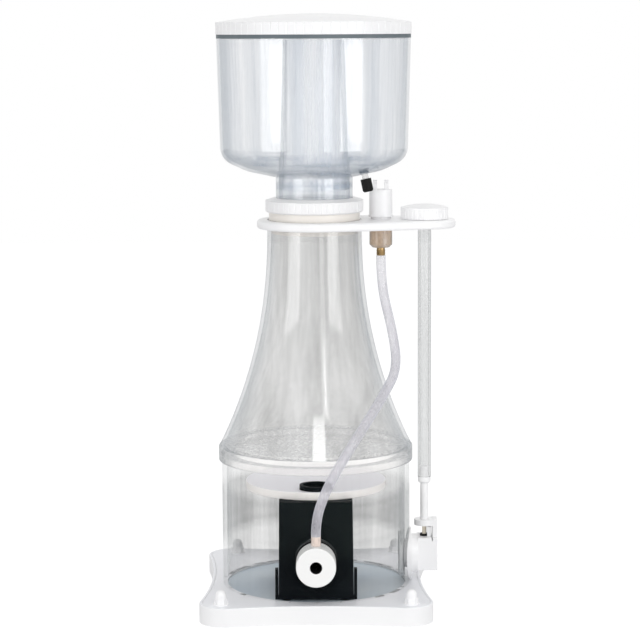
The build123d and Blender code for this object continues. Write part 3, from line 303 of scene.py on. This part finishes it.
# ---------------------------------------------------------------- materials
WHITE = (0.93, 0.93, 0.935)
# The same white plastic, painted lighter to offset the shade on the bracket, valve, knob and base.
WHITE_PAINTED_LIGHTER = (0.965, 0.965, 0.965)
# Painted light: a pale bluish tint for faces that look up, as light from above gives them.
TOP_TINT_PAINTED = (0.93, 0.94, 0.975)
looks = {
    "white": plastic("white_sheet", WHITE, (0.90, 0.90, 0.91)),
    "white_painted_lighter": plastic("white_sheet_painted_lighter", WHITE_PAINTED_LIGHTER, (0.94, 0.94, 0.95)),
    "base": plastic("base_sheet", WHITE_PAINTED_LIGHTER, (0.945, 0.945, 0.955), top=TOP_TINT_PAINTED),
    # The nuts' white is painted lighter too, against the shade they sit in.
    "nuts": plastic("nut_moulding", (0.98, 0.98, 0.985), (0.97, 0.97, 0.98)),
    # The disc's bluish top colour is a painted tint of light from above, and its body is painted
    # as light as it goes, against the shade inside the column.
    "disc": plastic(
        "disc_sheet", (0.985, 0.96, 0.93), (0.97, 0.94, 0.91), top=(0.95, 0.94, 0.98)
    ),
    "cream": plastic("cream_moulding", (0.92, 0.88, 0.83), (0.90, 0.86, 0.81)),
    # The venturi's second colour is painted shade for its bore.
    "venturi": bored(
        "venturi_moulding", (0.93, 0.93, 0.92), (0.02, 0.02, 0.022), radius=0.0062, height=0.064
    ),
    "pump": plastic(
        "pump_moulding", (0.003, 0.004, 0.006), (0.005, 0.007, 0.009),
        rough=(0.42, 0.6), grain=2600, bump=0.35, shine=0.05,
    ),
    "magnet": plastic(
        "magnet_sleeve", (0.05, 0.05, 0.055), (0.07, 0.07, 0.07), rough=(0.3, 0.5)
    ),
    "ceramic": plastic("ceramic", (0.86, 0.86, 0.83), (0.83, 0.83, 0.80), rough=(0.12, 0.2)),
    "rubber": plastic(
        "rubber", (0.006, 0.006, 0.006), (0.012, 0.012, 0.012),
        rough=(0.5, 0.7), grain=1800, bump=0.3, shine=0.15,
    ),
    "pale": plastic("pale_silicone", (0.72, 0.74, 0.76), (0.78, 0.79, 0.81), rough=(0.4, 0.55)),
    "seal": plastic(
        "seal_rubber", (0.10, 0.13, 0.145), (0.16, 0.19, 0.205),
        rough=(0.5, 0.7), grain=1500, bump=0.25,
    ),
    "foam": plastic(
        "foam", (0.10, 0.10, 0.11), (0.22, 0.22, 0.23), rough=(0.85, 0.98), grain=700, bump=0.9
    ),
    "floor": plastic(
        "grey_sheet", (0.50, 0.59, 0.68), (0.68, 0.75, 0.80), rough=(0.4, 0.5), bump=0.05
    ),
    "grey": plastic("grey_ring", (0.66, 0.67, 0.67), (0.60, 0.61, 0.62)),
    "tan": plastic("tan_rod", (0.80, 0.73, 0.60), (0.74, 0.67, 0.55)),
    "steel": metal("steel", (0.60, 0.60, 0.61), (0.52, 0.52, 0.53), rough=(0.22, 0.4)),
    "brass": metal("brass", (0.48, 0.33, 0.15), (0.30, 0.20, 0.10), rough=(0.2, 0.4)),
    "plate": clear(
        "drilled_sheet", (0.97, 0.97, 0.96), (0.84, 0.85, 0.86), alpha=(0.34, 0.42), streak=1,
        gloss=0.9, rough=(0.15, 0.3), drawn_scale=330, grain=(0.2, 1.9),
    ),
    "amber": clear(
        "amber_fitting", (0.49, 0.37, 0.27), (0.38, 0.35, 0.31), alpha=(0.72, 0.95), streak=0.5
    ),
    "peach": clear(
        "peach_moulding", (0.88, 0.74, 0.66), (0.72, 0.62, 0.57), alpha=(0.6, 0.9), streak=0.5
    ),
    # The column's denser band, 72 to 132 mm up, is painted shade for its shaded inside around the
    # pump.
    "column": clear(
        "column_wall", (0.015, 0.022, 0.02), (0.46, 0.49, 0.50), alpha=(0.042, 0.075), streak=0.05,
        drawn_scale=30, band=(0.072, 0.132, 4.2, 0.06), shine=0.12, grain=(0.75, 1.25), rim=0.14,
    ),
    "ring": clear(
        "ring_wall", (0.97, 0.94, 0.92), (0.28, 0.31, 0.33), alpha=(0.22, 0.30), streak=0.05,
        gloss=0.02, shine=0.8, grain=(0.9, 1.12), lines=(0.95, 1.06), rim=0.42,
    ),
    "cone": clear(
        "cone_wall", (0.15, 0.15, 0.14), (0.43, 0.48, 0.52), alpha=(0.15, 0.185), streak=0.02,
        gloss=0.10, rough=(0.06, 0.14), drawn_scale=26, grain=(0.65, 1.4), lines=(0.85, 1.15),
        rim=0.14, mirror=0.08,
    ),
    "cup": clear(
        "cup_wall", (0.36, 0.43, 0.52), (0.33, 0.39, 0.46), alpha=(0.10, 0.17), streak=0.03,
        band=(0.44, 0.478, 1.95, 0.4), grain=(0.4, 1.7), lines=(0.75, 1.25), rim=0.17, mirror=0.08,
    ),
    "riser": clear(
        "riser_wall", (0.84, 0.87, 0.92), (0.20, 0.24, 0.28), alpha=(0.11, 0.3), streak=0.02,
        grain=(0.5, 1.6), lines=(0.2, 2.0), rim=0.3,
    ),
    "shaft": clear(
        "shaft_wall", (0.60, 0.61, 0.61), (0.22, 0.24, 0.25), alpha=(0.30, 0.75), streak=0.03
    ),
    "nipple": clear(
        "clear_moulding", (0.84, 0.84, 0.84), (0.5, 0.52, 0.54), alpha=(0.3, 0.8), streak=1
    ),
    "hose": clear(
        "hose_wall", (0.60, 0.59, 0.64), (0.74, 0.75, 0.82), alpha=(0.48, 0.9), streak=0.3,
        gloss=0.1,
    ),
}
dressed = {
    "white": "union_collar cup_lid air_valve_body air_valve_cap shaft_bush valve_disc",
    "white_painted_lighter": "bracket outlet_flange valve_body valve_yoke adjust_knob shaft_plug",
    "nuts": "cap_nuts nut_washers",
    "base": "base_plate flange_plate",
    "venturi": "venturi_body",
    "disc": "diffuser_disc",
    "cream": "neck_ring needle_wheel",
    "pump": "pump_stand pump_head volute_cover motor_housing cable_gland pump_outlet",
    "magnet": "rotor_magnet",
    "ceramic": "pump_shaft",
    "rubber": "pump_pads shaft_bushes drain_grommet drain_cap intake_seal stem_seal",
    "pale": "cup_oring",
    "seal": "lid_seal",
    "foam": "silencer_foam",
    "plate": "bubble_plate",
    "floor": "floor_disc",
    "grey": "outlet_backing",
    "tan": "valve_stem",
    "amber": "hose_fitting",
    "steel": "base_bolts",
    "brass": "hose_barb",
    "column": "body_tube",
    "ring": "joint_ring",
    "cone": "body_cone",
    "cup": "cup_shell",
    "riser": "riser_tube",
    "shaft": "shaft_tube",
    "nipple": "drain_nipple",
    "peach": "venturi_nipple",
}
for look_name, node_names in dressed.items():
    for node_name in node_names.split():
        for slot in nodes[node_name].material_slots:
            slot.material = looks[look_name]

# ---------------------------------------------------------------- air hose
HOSE_DIAMETER = 0.010
HOSE_ROUTE = [
    (0.0698, 0, 0.370),
    (0.0698, 0, 0.338),
    (0.0815, -0.003, 0.292),
    (0.087, -0.018, 0.252),
    (0.070, -0.060, 0.229),
    (0.046, -0.101, 0.199),
    (0.025, -0.113, 0.168),
    (0.010, -0.118, 0.141),
    (0, -0.115, 0.112),
    (0, -0.115, 0.094),
]
hose_curve = bpy.data.curves.new("air_hose_tube", "CURVE")
hose_curve.dimensions = "3D"
hose_curve.bevel_depth = HOSE_DIAMETER / 2
hose_curve.bevel_resolution = 8
hose_curve.use_fill_caps = True
spline = hose_curve.splines.new("NURBS")
spline.points.add(len(HOSE_ROUTE) - 1)
for point, place in zip(spline.points, HOSE_ROUTE):
    point.co = (*place, 1)
spline.order_u = 3
spline.use_endpoint_u = True
spline.resolution_u = 16
hose_curve.materials.append(looks["hose"])
hose = bpy.data.objects.new("air_hose_tube", hose_curve)
scene.collection.objects.link(hose)
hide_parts("air_hose")
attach(hose, "column")

# ---------------------------------------------------------------- floor, background and lamps
FLOOR_SIDE = 8.0
FLOOR_LIT = (0.86, 0.86, 0.87)       # the floor as it lights the object
FLOOR_SHADED = (0.22, 0.22, 0.22)    # how much of the lamps' light the camera sees on it
FLOOR_SHOWN = 0.92                   # what the camera sees of it before any light falls on it
WORLD_LEVEL = 0.57

bpy.ops.mesh.primitive_plane_add(size=FLOOR_SIDE, location=(0, 0, 0))
floor = bpy.context.object
floor.name = "studio_floor"
floor_material = bpy.data.materials.new("studio_floor")
floor_material.use_nodes = True
graph = Graph(floor_material.node_tree)
lit = graph.node("ShaderNodeBsdfDiffuse", {"Color": FLOOR_LIT}).outputs[0]
shaded = graph.node("ShaderNodeBsdfDiffuse", {"Color": FLOOR_SHADED}).outputs[0]
glow = graph.node("ShaderNodeEmission", {"Strength": FLOOR_SHOWN}).outputs[0]
shown = graph.node("ShaderNodeAddShader", {0: shaded, 1: glow}).outputs[0]
direct = graph.node("ShaderNodeLightPath").outputs["Is Camera Ray"]
ground = graph.node("ShaderNodeMixShader", {0: direct, 1: lit, 2: shown}).outputs[0]
graph.node("ShaderNodeOutputMaterial", {"Surface": ground})
floor.data.materials.append(floor_material)

# The world lights the object at its level, and is plain white where it is seen or reflected.
world = bpy.data.worlds.new("studio")
scene.world = world
world.use_nodes = True
graph = Graph(world.node_tree)
rays = graph.node("ShaderNodeLightPath").outputs
seen = graph.maths("MAXIMUM", rays["Is Camera Ray"], rays["Is Glossy Ray"])
seen = graph.maths("MAXIMUM", seen, rays["Is Transmission Ray"])
level = graph.ranged(seen, (WORLD_LEVEL, 1.0), SHARE)
backdrop = graph.node("ShaderNodeBackground", {"Color": (1, 1, 1), "Strength": level}).outputs[0]
graph.node("ShaderNodeOutputWorld", {"Surface": backdrop})


def lamp(name, at, aim, wide, tall, watts):
    """Soft white lamp, aimed at a point."""
    data = bpy.data.lights.new(name, "AREA")
    data.shape = "RECTANGLE"
    data.size = wide
    data.size_y = tall
    data.energy = watts
    light = bpy.data.objects.new(name, data)
    light.location = at
    light.rotation_euler = (Vector(aim) - Vector(at)).to_track_quat("-Z", "Y").to_euler()
    scene.collection.objects.link(light)


MIDDLE = (0, 0, 0.32)
COLUMN = (0, 0, 0.17)
BASE = (0, 0, 0.1)
lamp("strip", (0.62, -2.05, 0.75), MIDDLE, 0.4, 1.4, 3.5)
lamp("spark", (0.60, -2.0, 1.15), MIDDLE, 0.06, 0.5, 0.8)
lamp("front", (0.12, -1.45, 1.35), COLUMN, 0.45, 0.47, 3.7)
lamp("key", (1.6, -1.6, 0.4), BASE, 1.1, 0.7, 8)
lamp("fill", (-1.8, -1.5, 0.4), BASE, 1.3, 0.7, 8)
lamp("top", (0.1, 0.3, 2.3), MIDDLE, 1.2, 1.2, 7.5)
